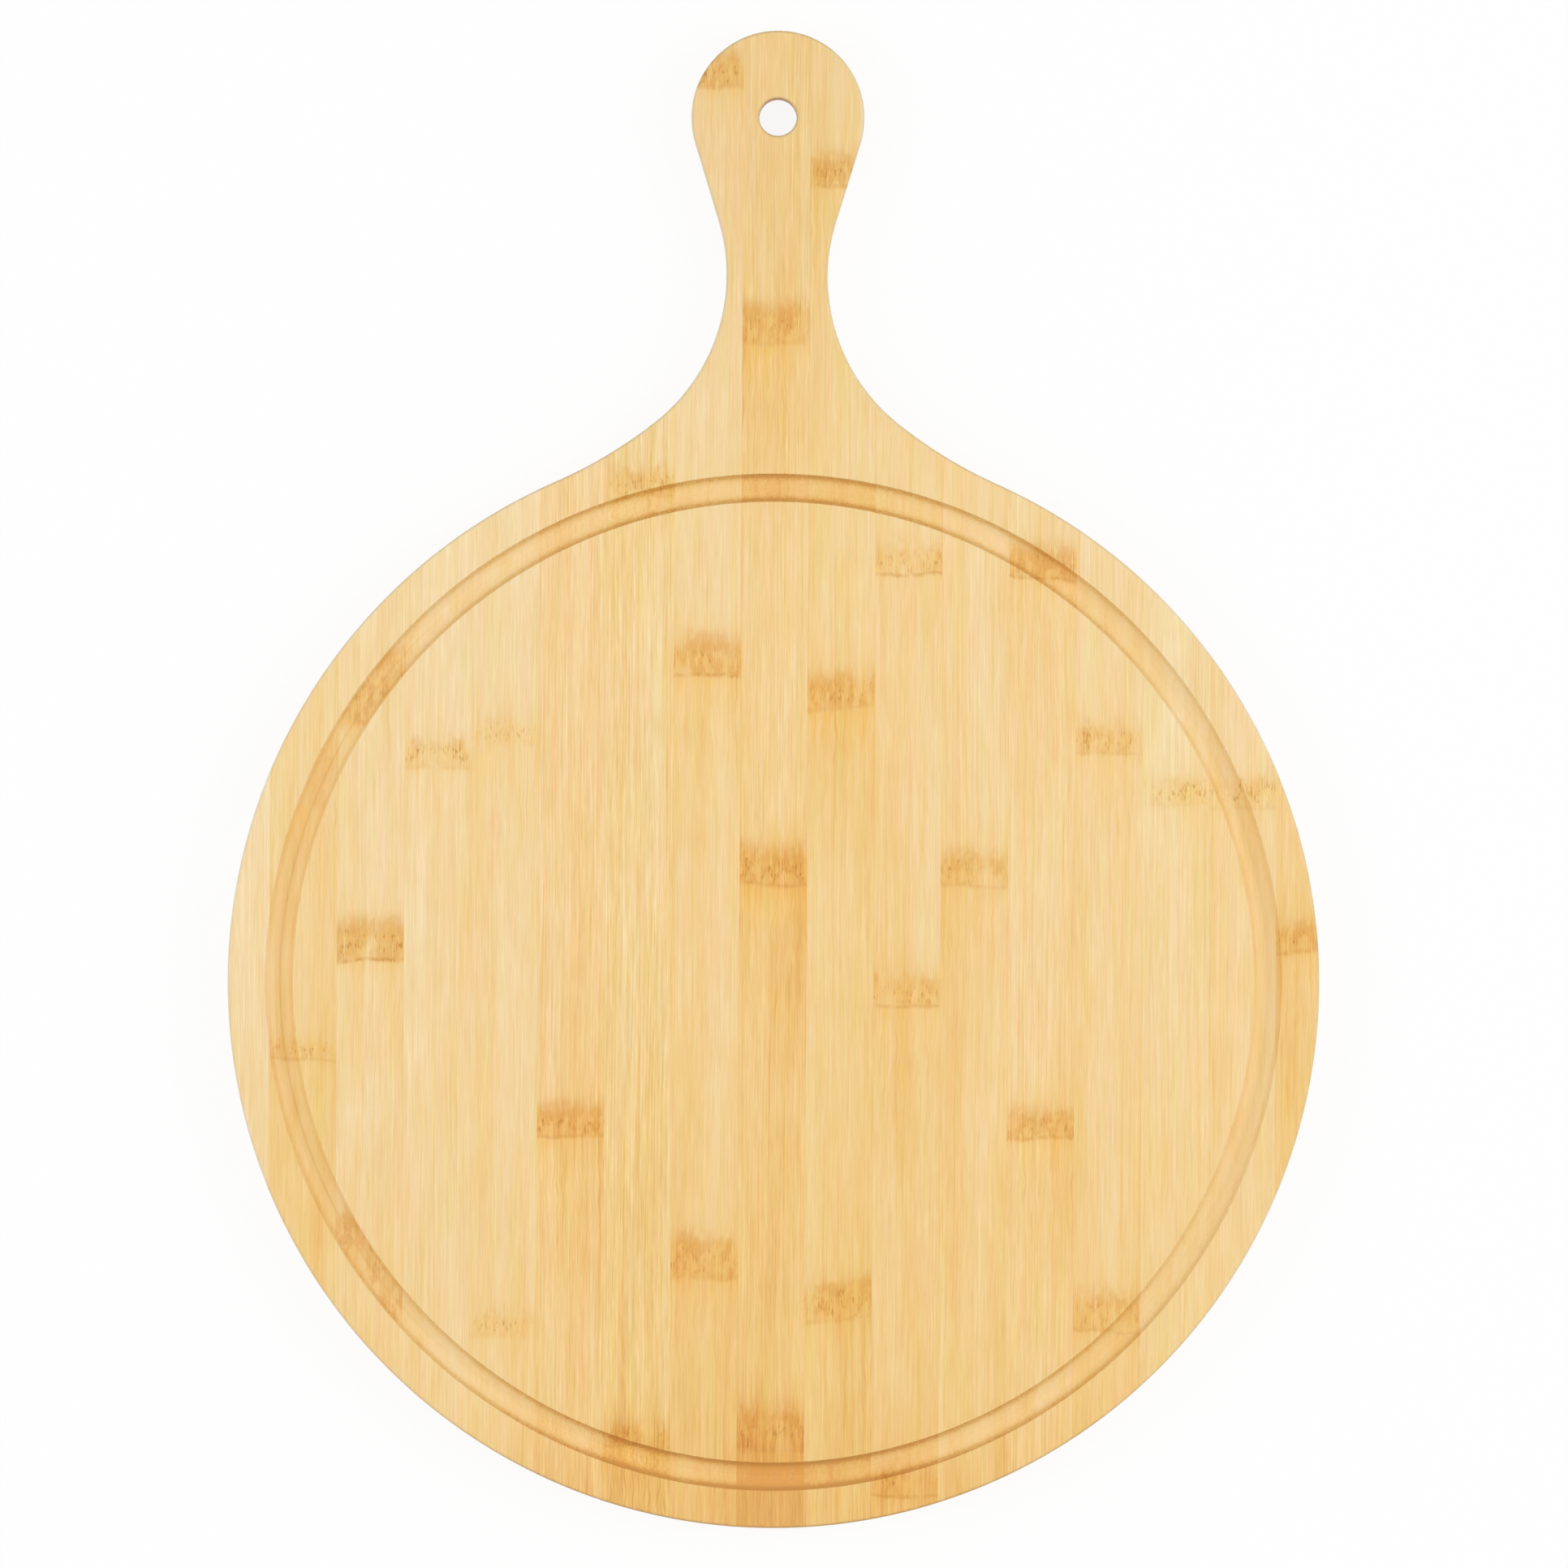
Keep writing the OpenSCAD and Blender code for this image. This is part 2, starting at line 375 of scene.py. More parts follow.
def circle_row(radius, low_x, high_x, way, angles=None, count=0):
    """Points on a circle about the disc's centre from low_x to high_x, in its upper half where
    way is 1 and in its lower half where it is -1: (r cos a, way * r sin a). An x beyond the
    circle gives its outermost point. Given angles are cut off at both ends, so that rows of
    different radii share their directions."""
    ends = np.arccos(np.clip(np.array([low_x, high_x]) / radius, -1, 1))
    if angles is None:
        a = np.linspace(*ends, count)
    else:
        a = np.clip(angles, ends[1], ends[0])
    return radius * np.stack([np.cos(a), way * np.sin(a)], axis=1)


def at_height(row, z):
    """A flat row of points with a height."""
    return np.column_stack([row, np.full(len(row), z)])


# Closed surfaces


class Shell:
    """Faces collected by their corners, which are welded where they meet."""

    def __init__(self):
        self.corners, self.sizes = [], []

    def grid(self, rows):
        """Quads between neighbouring rows of equally many points."""
        p = np.asarray(rows)
        quads = np.stack([p[:-1, :-1], p[:-1, 1:], p[1:, 1:], p[1:, :-1]], axis=2)
        self.corners.append(quads.reshape(-1, 3))
        self.sizes.append(np.full(quads.shape[0] * quads.shape[1], 4))

    def face(self, *runs):
        """One flat face whose corners are these runs of points, one after another."""
        corners = np.concatenate(runs)
        self.corners.append(corners)
        self.sizes.append(np.array([len(corners)]))

    def mesh(self, name):
        """The mesh in metres: equal corners become one vertex, corners repeated within a face
        and faces with fewer than three are left out, and faces are turned outwards."""
        corners = np.concatenate(self.corners)
        sizes = np.concatenate(self.sizes)
        keys = np.round(corners, WELD_DECIMALS)
        _, first, where = np.unique(keys, axis=0, return_index=True, return_inverse=True)
        where = where.reshape(-1)
        starts = np.concatenate([[0], np.cumsum(sizes)[:-1]])
        previous = np.arange(len(where)) - 1
        previous[starts] = starts + sizes - 1
        kept = where != where[previous]
        counts = np.add.reduceat(kept, starts)
        runs = np.split(where[kept], np.cumsum(counts)[:-1])
        faces = [run.tolist() for run, n in zip(runs, counts) if n > 2]
        mesh = bpy.data.meshes.new(name)
        mesh.from_pydata(corners[first] * MM, [], faces)
        work = bmesh.new()
        work.from_mesh(mesh)
        loose = [v for v in work.verts if not v.link_faces]
        bmesh.ops.delete(work, geom=loose, context="VERTS")
        bmesh.ops.recalc_face_normals(work, faces=work.faces)
        if work.calc_volume(signed=True) < 0:
            bmesh.ops.reverse_faces(work, faces=work.faces)
        open_edges = [e for e in work.edges if not e.is_manifold]
        if open_edges:
            raise RuntimeError(f"{name}: {len(open_edges)} edges aren't closed")
        work.to_mesh(mesh)
        work.free()
        sides = np.zeros(len(mesh.polygons), np.int32)
        mesh.polygons.foreach_get("loop_total", sides)
        mesh.polygons.foreach_set("use_smooth", sides <= 4)
        mesh.set_sharp_from_angle(angle=SMOOTH_ANGLE)
        return mesh


def arris(radius, face_z, way, wall_z):
    """(inset, height) of the rows from the far end of a wall over a rounded edge onto the face:
    inset = r (1 - cos a) and height = face_z - way * r (1 - sin a), a from 0 to 90 degrees."""
    a = np.linspace(0, math.pi / 2, ARRIS_STEPS + 1)
    insets = radius * (1 - np.cos(a))
    heights = face_z - way * radius * (1 - np.sin(a))
    return [(0.0, wall_z), *zip(insets.tolist(), heights.tolist())]


class Groove:
    """Profile of the groove: a round bottom, and rims eased by a small radius that touches
    both the bottom's circle and the face. A shallow tool line runs along the bottom."""

    LINE_R, LINE_HALF_W, LINE_DEPTH = 158.2, 0.28, 0.09  # the tool line's radius and size
    WALL_STEPS, RIM_STEPS = 26, 4  # edges across the round bottom and across each eased rim
    GLUE_STEPS = (0, 0.04, 0.12, 0.25, 0.4, 0.6)  # rows beside a glue line along the groove
    NEAREST = 0.015  # least distance between two rows
    DECIMALS, SLACK = 5, 2e-5  # rounding of the rows' radii, and what finds a rounded one

    def __init__(self, sizes, face_z):
        self.half_w, depth = sizes.groove_w / MM / 2, sizes.groove_depth / MM
        self.face_z = face_z
        self.mid_r = sizes.disc_r / MM - sizes.groove_inset / MM - self.half_w
        self.cut_r = (self.half_w**2 + depth**2) / (2 * depth)
        self.cut_z = face_z - depth + self.cut_r
        self.rim_r = sizes.groove_arris_r / MM
        drop = self.cut_z - face_z + self.rim_r
        self.rim_at = math.sqrt((self.cut_r + self.rim_r) ** 2 - drop**2)
        self.wall_at = self.rim_at * self.cut_r / (self.cut_r + self.rim_r)

    def height(self, radius):
        """Height of the surface at a distance from the disc's centre: the bottom's circle, the
        rim's circle beyond wall_at, or the face beyond rim_at, less the tool line."""
        off = abs(radius - self.mid_r)
        if off >= self.rim_at:
            z = self.face_z
        elif off > self.wall_at:
            z = self.face_z - self.rim_r + math.sqrt(self.rim_r**2 - (self.rim_at - off) ** 2)
        else:
            z = self.cut_z - math.sqrt(self.cut_r**2 - off**2)
        return z - self.LINE_DEPTH * max(1 - abs(radius - self.LINE_R) / self.LINE_HALF_W, 0)

    def radii(self, low_x, high_x):
        """Distances from the centre of the rows across the groove, from its outer rim to its
        inner one, with some more where a glue line runs along the groove."""
        a = np.linspace(-1, 1, self.WALL_STEPS + 1) * math.asin(self.wall_at / self.cut_r)
        wall = self.cut_r * np.sin(a)
        rim_turn = math.asin((self.rim_at - self.wall_at) / self.rim_r)
        rim = self.rim_at - self.rim_r * np.sin(np.linspace(0, rim_turn, self.RIM_STEPS + 1))
        line = self.LINE_R - self.mid_r + self.LINE_HALF_W * np.array([-1, 0, 1])
        found = np.concatenate([wall, rim, -rim, line]) + self.mid_r
        for x in (low_x, high_x):
            if abs(abs(x) - self.mid_r) < self.rim_at:
                found = np.append(found, abs(x) + np.array(self.GLUE_STEPS))
        nearest = min(abs(low_x), abs(high_x))
        found = found[(found >= nearest - TINY) & (found <= self.mid_r + self.rim_at + TINY)]
        found = np.unique(np.round(found, self.DECIMALS))
        kept = np.append(True, np.diff(found) > self.NEAREST)
        for x in (low_x, high_x):
            kept |= np.isclose(found, abs(x), atol=self.SLACK)
        return found[kept][::-1]


def hole_row(centre, radius, side, z):
    """Half a ring round the hole, from its top to its bottom, on the left where side is -1 and
    on the right where it is 1: centre + radius * (side * cos a, sin a)."""
    a = np.linspace(math.pi / 2, -math.pi / 2, HOLE_POINTS)
    ring = centre + radius * np.stack([side * np.cos(a), np.sin(a)], axis=1)
    return at_height(ring, z)


def face_strip(outline, low_x, high_x, edge, hole, groove):
    """A closed strip of a face ply between two glue lines. Its rims follow the board's edge in
    rows, which run from the glued side over the eased edge onto the face, and edge gives their
    insets and heights. The groove, if there is one, crosses it in rows on circles about the
    disc's centre, whose heights are the groove's profile. The hole is a centre, its mouth's
    insets and heights, and a radius."""
    shell = Shell()
    parts = [(low_x, high_x)]
    if low_x < 0 < high_x:
        parts = [(low_x, 0.0), (0.0, high_x)]
    for a, b in parts:
        half_strip(shell, outline, a, b, edge, hole, groove)
    return shell


def groove_rings(groove, low_x, high_x):
    """Rows along the groove from its outer rim to its inner one, in the disc's upper half, 1,
    and in its lower half, -1: circles about the disc's centre at the heights of its profile."""
    radii = groove.radii(low_x, high_x)
    outer, inner = (
        np.arccos(np.clip(np.array([low_x, high_x]) / r, -1, 1)) for r in (radii[0], radii[-1])
    )
    start, end = max(outer[0], inner[0]), min(outer[1], inner[1])
    angles = np.linspace(start, end, steps_for((start - end) * radii[0]) + 1)

    def ring(radius, way):
        return at_height(circle_row(radius, low_x, high_x, way, angles), groove.height(radius))

    return {way: [ring(r, way) for r in radii] for way in (1, -1)}


def half_strip(shell, outline, low_x, high_x, edge, hole, groove):
    """The part of a strip between low_x and high_x. It has no wall at x = 0, where a strip that
    lies across the axis goes on with its other part."""
    count = steps_for(outline.reach(low_x, high_x))
    low_count = steps_for((high_x - low_x) * LOW_RIM_FINER)
    rims = {
        1: [at_height(outline.row(low_x, high_x, e, count), z) for e, z in edge],
        -1: [
            at_height(circle_row(outline.disc_r - e, low_x, high_x, -1, count=low_count), z)
            for e, z in edge
        ],
    }
    rings = groove_rings(groove, low_x, high_x) if groove else {1: [], -1: []}
    hole_rows = []
    if hole is not None and 0 in (low_x, high_x):
        centre, hole_edge, hole_r = hole
        side = 1 if low_x == 0 else -1
        hole_rows = [hole_row(centre, hole_r + e, side, z) for e, z in hole_edge]
        shell.grid(hole_rows)
    for way in (1, -1):
        shell.grid(rims[way])
        if groove:
            shell.grid(rings[way])

    def flat_face(rim, back, end):
        """A flat face between two rows, round the first or the last half ring of the hole."""
        if not hole_rows:
            shell.face(rim, back[::-1])
        elif high_x == 0:
            shell.face(rim, hole_rows[end], back[::-1])
        else:
            shell.face(rim, back[::-1], hole_rows[end][::-1])

    # The glued side, then the face, in one piece or parted by the groove
    flat_face(rims[1][0], rims[-1][0], 0)
    if groove:
        flat_face(rims[1][-1], rings[1][0], -1)
        shell.face(rims[-1][-1], rings[-1][0][::-1])
        if not np.allclose(rings[1][-1], rings[-1][-1]):
            shell.face(rings[1][-1], rings[-1][-1][::-1])
    else:
        flat_face(rims[1][-1], rims[-1][-1], -1)
    # A wall at each glue line, whose outline runs over the rims and through the groove
    for x, end in ((low_x, 0), (high_x, -1)):
        if x == 0 or abs(x) >= outline.disc_r:
            continue
        crossed = [i for i, row in enumerate(rings[1]) if abs(row[end][0] - x) < SAME]
        lower = [row[end] for row in rims[-1]] + [rings[-1][i][end] for i in crossed]
        upper = [row[end] for row in rims[1]] + [rings[1][i][end] for i in crossed]
        shell.face(np.array(lower + upper[::-1]))


def core_strip(outline, low_y, high_y, low_z, high_z, hole=None):
    """A closed strip of the core between two glue lines across the board. Its sides are the
    points (half width at y, y) and their mirror image, carried from one ply to the other."""
    shell = Shell()
    side = outline.side(0.0)
    foot, tip = side[-1, 1], side[0, 1]
    low, high = max(low_y, foot), min(high_y, tip)
    count = steps_for((high - low) * CORE_FINER)
    y = np.linspace(low, high, count)
    # Even steps along their circles keep the foot and the tip round
    if low_y <= foot:
        a = np.linspace(0, math.acos(-high / outline.disc_r), FOOT_FINER * count)
        y = -outline.disc_r * np.cos(a)
    if high_y >= tip:
        a = np.linspace(math.asin((low - outline.head[1]) / outline.head_r), math.pi / 2, count)
        y = outline.head[1] + outline.head_r * np.sin(a)
    x = outline.half_width(y)
    x[(y >= tip - TINY) | (y <= foot + TINY)] = 0
    right = np.stack([x, y], axis=1)
    left = right * [-1, 1]
    for z in (low_z, high_z):
        if hole is None:
            shell.face(at_height(right, z), at_height(left[::-1], z))
        else:
            for path, way in ((right, 1), (left, -1)):
                first, last = [[0, path[0, 1], z]], [[0, path[-1, 1], z]]
                shell.face(first, at_height(path, z), last, hole_row(*hole, way, z))
    for path in (right, left):
        shell.grid([at_height(path, low_z), at_height(path, high_z)])
    for end in (0, -1):
        # With a hole the flat faces meet at x = 0, which is a corner of the glued side too
        middle = [] if hole is None else [(0, y[end])]
        across = [right[end], *middle, left[end]]
        shell.face(at_height(across, low_z), at_height(across[::-1], high_z))
    if hole is not None:
        for way in (1, -1):
            shell.grid([hole_row(*hole, way, z) for z in (low_z, high_z)])
    return shell


def mark_end_grain(mesh, axis):
    """Keeps on each corner how squarely the surface cuts the fibres: the normal's part along
    them, made t, which is 0 at CUT_FROM and 1 at CUT_FULL, and then t * t * (3 - 2 * t)."""
    normals = np.zeros(3 * len(mesh.loops), np.float32)
    mesh.corner_normals.foreach_get("vector", normals)
    along = np.abs(normals.reshape(-1, 3)[:, axis])
    t = np.clip((along - CUT_FROM) / (CUT_FULL - CUT_FROM), 0, 1)
    marks = mesh.attributes.new(END_GRAIN, "FLOAT", "CORNER")
    marks.data.foreach_set("value", (t * t * (3 - 2 * t)).astype(np.float32))


def piece_name(node):
    """Name of the piece that stands for a CAD node, and of its mesh and material."""
    return node.replace("strip", "bamboo")


def add_piece(shell, node, material, grain_axis):
    """Makes the strip's object, which stands for its CAD node and rides on the board."""
    name = piece_name(node)
    mesh = shell.mesh(name)
    mark_end_grain(mesh, grain_axis)
    mesh.materials.append(material)
    piece = bpy.data.objects.new(name, mesh)
    bpy.context.scene.collection.objects.link(piece)
    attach(piece, "root")
    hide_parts(node)


# Materials


class Graph:
    """Adds nodes to a node tree. An input is a socket to join or a value to set."""

    def __init__(self, tree):
        self.tree = tree

    def node(self, kind, inputs=None, out=0, **settings):
        """Adds a node and returns one of its outputs, or all of them where out is None."""
        made = self.tree.nodes.new(kind)
        for key, value in settings.items():
            setattr(made, key, value)
        for key, value in (inputs or {}).items():
            self.put(made.inputs[key], value)
        return made.outputs if out is None else made.outputs[out]

    def put(self, socket, value):
        """Joins or sets one input."""
        if isinstance(value, bpy.types.NodeSocket):
            self.tree.links.new(value, socket)
        elif socket.type == "RGBA":
            socket.default_value = (*tuple(value)[:3], 1.0)
        else:
            socket.default_value = value

    def math(self, operation, a, b=0.0, c=0.0, clamp=False):
        """One step of arithmetic, kept between 0 and 1 if it is clamped."""
        return self.node(
            "ShaderNodeMath", {0: a, 1: b, 2: c}, operation=operation, use_clamp=clamp
        )

    def add(self, *values):
        """Sum of values."""
        total = values[0]
        for value in values[1:]:
            total = self.math("ADD", total, value)
        return total

    def less(self, a, b):
        """a - b."""
        return self.math("SUBTRACT", a, b)

    def absolute(self, value):
        """The value without its sign."""
        return self.math("ABSOLUTE", value)

    def times(self, *values):
        """Product of values."""
        total = values[0]
        for value in values[1:]:
            total = self.math("MULTIPLY", total, value)
        return total

    def reach(self, a, b):
        """Length of the flat vector (a, b): the root of a * a + b * b."""
        return self.math("SQRT", self.add(self.times(a, a), self.times(b, b)))

    def share(self, *values):
        """Product of values, kept between 0 and 1."""
        return self.math("ADD", self.times(*values), 0.0, clamp=True)

    def line(self, value, slope, start):
        """start + slope * value."""
        return self.math("MULTIPLY_ADD", value, slope, start)

    def step(self, value, low, high):
        """0 below low and 1 above high, smooth in between; falls where low is above high."""
        ends = (low, high, 0.0, 1.0) if low < high else (high, low, 1.0, 0.0)
        inputs = dict(zip(("Value", "From Min", "From Max", "To Min", "To Max"), (value, *ends)))
        return self.node("ShaderNodeMapRange", inputs, interpolation_type="SMOOTHSTEP")

    def vector(self, operation, a, b, c=(0.0, 0.0, 0.0)):
        """One step of arithmetic on vectors."""
        return self.node("ShaderNodeVectorMath", {0: a, 1: b, 2: c}, operation=operation)

    def axes(self, vector):
        """The three parts of a vector."""
        return self.node("ShaderNodeSeparateXYZ", {0: vector}, out=None)

    def joined(self, *values):
        """A vector of up to three values. Those left out are 0."""
        return self.node("ShaderNodeCombineXYZ", dict(enumerate(values)))

    def noise(self, place, stretch, detail=2.0, rough=0.5):
        """Noise about 0, mostly within 0.3 of it, with this many cells per millimetre along
        each axis. It is flat, without depth, where only two axes are given."""
        inputs = {"Vector": self.vector("MULTIPLY", place, (*stretch, 0.0)[:3]), "Scale": 1.0,
                  "Detail": detail, "Roughness": rough}
        found = self.node("ShaderNodeTexNoise", inputs, noise_dimensions=f"{len(stretch)}D")
        return self.less(found, 0.5)

    def cell_distance(self, place, stretch):
        """Distance to the centre of the nearest of flat cells, this many per millimetre."""
        inputs = {"Vector": self.vector("MULTIPLY", place, (*stretch, 0.0)), "Scale": 1.0,
                  "Randomness": 0.9}
        return self.node("ShaderNodeTexVoronoi", inputs, voronoi_dimensions="2D")

    def tinted(self, share, colour, tint):
        """A colour multiplied by a tint as far as the share says."""
        made = self.node("ShaderNodeMix", {0: share, 6: colour, 7: tint}, out=None,
                         data_type="RGBA", blend_type="MULTIPLY")
        return made[2]

    def ramp(self, value, places, colours):
        """Colour of a value between the first place and the last."""
        found = self.node("ShaderNodeValToRGB", {0: value})
        points = found.node.color_ramp.elements
        for place in places[1:-1]:
            points.new(place)
        for point, place, colour in zip(points, places, colours):
            point.position, point.color = place, (*tuple(colour)[:3], 1.0)
        return found

    def group(self, name, inputs):
        """The outputs of a node that uses one of the shared node groups."""
        return self.node("ShaderNodeGroup", inputs, out=None, node_tree=strip_group(name))


VECTORS = ("Place", "Where", "What", "How")  # the groups' sockets that carry three values


def node_group(name, inputs, outputs):
    """A new node group: its graph, the sockets that it reads and those that it fills."""
    tree = bpy.data.node_groups.new(name, "ShaderNodeTree")
    for way, labels in (("INPUT", inputs), ("OUTPUT", outputs)):
        for label in labels:
            kind = "Color" if label == "Color" else "Vector" if label in VECTORS else "Float"
            tree.interface.new_socket(name=label, in_out=way, socket_type="NodeSocket" + kind)
    given = tree.nodes.new("NodeGroupInput").outputs
    wanted = tree.nodes.new("NodeGroupOutput").inputs
    return Graph(tree), given, wanted


def make_grain(name, scene):
    """Bamboo along Y in millimetres: broad bands, patches, streaks, veins and hairlines, each a
    noise stretched along the grain, are added to the strip's tone, and the sum picks a colour
    from palest to burnt. Fine lines make it lighter or darker, and other streaks turn it to
    straw or to rose. Where the fibres are cut across, their bundles show as dark dots. Ripple
    sways the fibres from side to side."""
    colours = scene.board_colours
    g, given, wanted = node_group(
        name,
        ("Place", "Seed", "Tone", "Hue", "Figure", "Shade", "End grain", "Ripple"),
        ("Color", "Height", "Sheen"),
    )
    seed, figure, cut = given["Seed"], given["Figure"], given["End grain"]
    offset = g.joined(g.times(seed, 31.7), g.times(seed, 83.3), g.times(seed, 17.9))
    place = g.vector("ADD", given["Place"], offset)
    bend = g.times(g.noise(place, (0.03, 0.009), 1.0), 1.5)
    ripple = g.times(g.noise(place, (0.42, 0.13), 0.0), given["Ripple"], 2.8)
    place = g.vector("ADD", place, g.joined(g.add(bend, ripple)))
    x, _, z = g.axes(place)
    band = g.noise(place, (0.15, 0.007, 0.17), 1.0)
    patch = g.noise(place, (0.14, 0.05), 2.0)
    streak = g.noise(place, (0.62, 0.035, 0.62), 2.0, 0.6)
    fine = g.times(g.noise(place, (1.9, 0.085, 1.9), 2.0, 0.65), figure)
    hair = g.times(g.noise(place, (2.7, 0.022, 2.7), 1.0), figure)
    vein = g.step(g.noise(place, (0.85, 0.005, 0.85), 1.0), 0.10, 0.26)
    bundle = g.step(g.cell_distance(g.joined(x, z), (1.0, 1.0)), 0.5, 0.1)
    level = g.add(
        given["Tone"], g.times(band, 0.8), g.times(patch, 0.35), g.times(streak, 0.75),
        g.times(fine, 0.55), g.times(hair, 0.35), g.times(vein, figure, 0.22), -0.03,
        g.times(cut, g.line(bundle, 0.5, 0.5)),
    )
    colour = g.ramp(
        g.line(level, 0.5, 0.25),
        (0.0, 0.25, 0.5, 0.68, 0.85, 1.0),
        (colours.palest, colours.pale, colours.honey, colours.amber, colours.brown,
         colours.burnt),
    )
    # Light taken off: the Shade input, which holds painted shade and darker marks, and a little
    # more where the fibres are cut across
    shade_by = g.line(cut, 0.05, given["Shade"])
    light = g.add(g.times(fine, -0.15), g.times(hair, -0.18), g.times(shade_by, -1.0), 1.012)
    colour = g.node("ShaderNodeVectorMath", {0: colour, "Scale": light}, operation="SCALE")
    hue = g.add(
        given["Hue"],
        g.times(g.noise(place, (0.33, 0.02), 2.0), 2.4),
        g.times(g.noise(place, (1.4, 0.045, 1.4), 1.0), 2.0),
    )
    colour = g.tinted(g.share(hue), colour, colours.straw)
    g.put(wanted["Color"], g.tinted(g.share(hue, -1.0), colour, colours.rose))
    g.put(wanted["Height"], fine)
    g.put(wanted["Sheen"], g.line(fine, 0.35, 0.52))


def measure_knuckle(g, given):
    """Places within the band of a knuckle, in millimetres, and the noises that its parts share.
    v is the height above the band's middle line, y - (middle + tilt x + arch x^2 / 100), which
    sways a little. over_top and over_foot are the heights above its upper and lower edge."""
    x, y, z = g.axes(given["Place"])
    height, size, tilt = g.axes(given["Where"])
    strong, dashes, lined = g.axes(given["What"])
    glowing, arch, deep = g.axes(given["How"])
    seed = given["Seed"]
    place = g.vector("ADD", given["Place"], g.joined(g.times(seed, 47.1), g.times(seed, 61.7)))
    sway = g.noise(place, (0.09, 0.01), 1.0)
    comb = g.noise(place, (2.2, 0.07), 1.0)
    wave = g.noise(place, (0.4, 0.03), 1.0)
    cloud = g.noise(place, (0.11, 0.05), 1.0)
    middle = g.add(height, g.times(tilt, x), g.times(arch, x, x, 0.01), g.times(sway, 2.5))
    v = g.less(y, middle)
    half = g.times(size, 0.5)
    # A band that lies deep shows only below the serving face
    below = g.step(z, BOARD_T - 0.2, BOARD_T - 1.2)
    shown = g.line(deep, g.add(below, -1.0), 1.0)
    ends = g.step(g.add(g.absolute(x), g.times(wave, 9.0)), 11.6, 7.6)
    return SimpleNamespace(
        place=place, v=v, size=size, comb=comb, wave=wave, shown=shown,
        over_top=g.less(v, half), over_foot=g.add(v, half, g.times(comb, 1.2)),
        thick=g.noise(place, (0.45, 0.20), 2.0), strong=strong, strength=g.times(strong, shown),
        clouded=g.times(g.line(cloud, 3.4, 1.15), g.line(ends, 0.55, 0.45)),
        dashes=dashes, lined=lined, glowing=glowing,
    )


def knuckle_stains(g, k):
    """Shares of the band itself, of its browner parts and of the skirt just below it. The band
    starts nearly sharp at its foot and runs out in streaks at its top. It is browner towards
    the top, in some places, and where it is strong."""
    upper = g.step(g.add(k.over_top, g.times(k.comb, 7.0), g.times(k.wave, 4.0)), 1.8, -2.6)
    lower = g.step(k.over_foot, -1.0, 1.1)
    fibres = g.line(g.noise(k.place, (1.5, 0.14), 2.0, 0.65), 2.0, 1.0)
    band = g.share(upper, lower, fibres, k.clouded, k.strength, 1.7)
    browner = g.add(
        k.thick, g.times(g.step(k.over_top, -8.0, 0.5), 0.14), g.times(k.comb, 0.7),
        g.line(k.strong, 0.4, -0.28),
    )
    smoke = g.share(
        g.step(browner, -0.08, 0.20), g.step(k.over_foot, -0.7, 1.5),
        g.step(k.over_top, 6.5, -1.0), k.clouded, k.strength, 1.15,
    )
    skirt = g.share(
        g.step(k.over_foot, 0.6, -0.8), g.step(k.over_foot, -5.0, 0.0),
        g.line(k.comb, 2.0, 0.6), k.strength, 0.6,
    )
    return band, smoke, skirt


def knuckle_marks(g, k):
    """Shares of the dark dashes and of the pale flecks between them, both in a wavy row along
    the band's middle, and of the dark line along its foot."""
    specks = g.noise(k.place, (2.0, 0.42), 1.0)
    off_row = g.absolute(g.add(k.v, g.times(k.wave, -9.0), -0.4))
    row = g.step(g.math("DIVIDE", off_row, k.size), 0.36, 0.12)
    dots = g.share(
        g.step(specks, 0.03, 0.20), g.step(k.thick, -0.10, 0.08), g.line(row, 0.8, 0.2),
        g.step(k.over_top, 1.0, -1.5), g.step(k.over_foot, 0.3, 2.0), k.clouded, k.dashes, 1.6,
        k.shown,
    )
    flecks = g.share(g.step(specks, -0.04, -0.20), row, k.dashes, 1.2, k.shown)
    off_foot = g.absolute(g.add(k.over_foot, -0.6))
    line = g.share(g.step(off_foot, 0.9, 0.1), g.step(k.wave, -0.35, 0.15), k.lined, k.shown)
    return dots, flecks, g.times(line, 0.8)


def make_knuckle(name, scene):
    """One band across a strip where the stalk had a joint: the strip's colour is multiplied by
    the tint of each of its parts, and the bamboo below it glows. Where is (middle, height,
    tilt), What is (strength, dashes, line), and How is (glow, arch, whether it is deep)."""
    colours = scene.board_colours
    g, given, wanted = node_group(
        name, ("Color", "Place", "Seed", "Where", "What", "How"), ("Color",)
    )
    k = measure_knuckle(g, given)
    band, smoke, skirt = knuckle_stains(g, k)
    dots, flecks, line = knuckle_marks(g, k)
    glow = g.share(
        g.step(k.over_foot, 0.6, -0.8), g.step(k.over_foot, -18.0, 0.0),
        g.line(k.wave, 2.5, 0.7), k.glowing, k.shown,
    )
    colour = given["Color"]
    for share, tint in (
        (glow, colours.glow), (skirt, colours.knuckle), (band, colours.knuckle),
        (smoke, colours.smoke), (line, colours.dash), (dots, colours.dash),
        (flecks, colours.fleck),
    ):
        colour = g.tinted(share, colour, tint)
    g.put(wanted["Color"], colour)


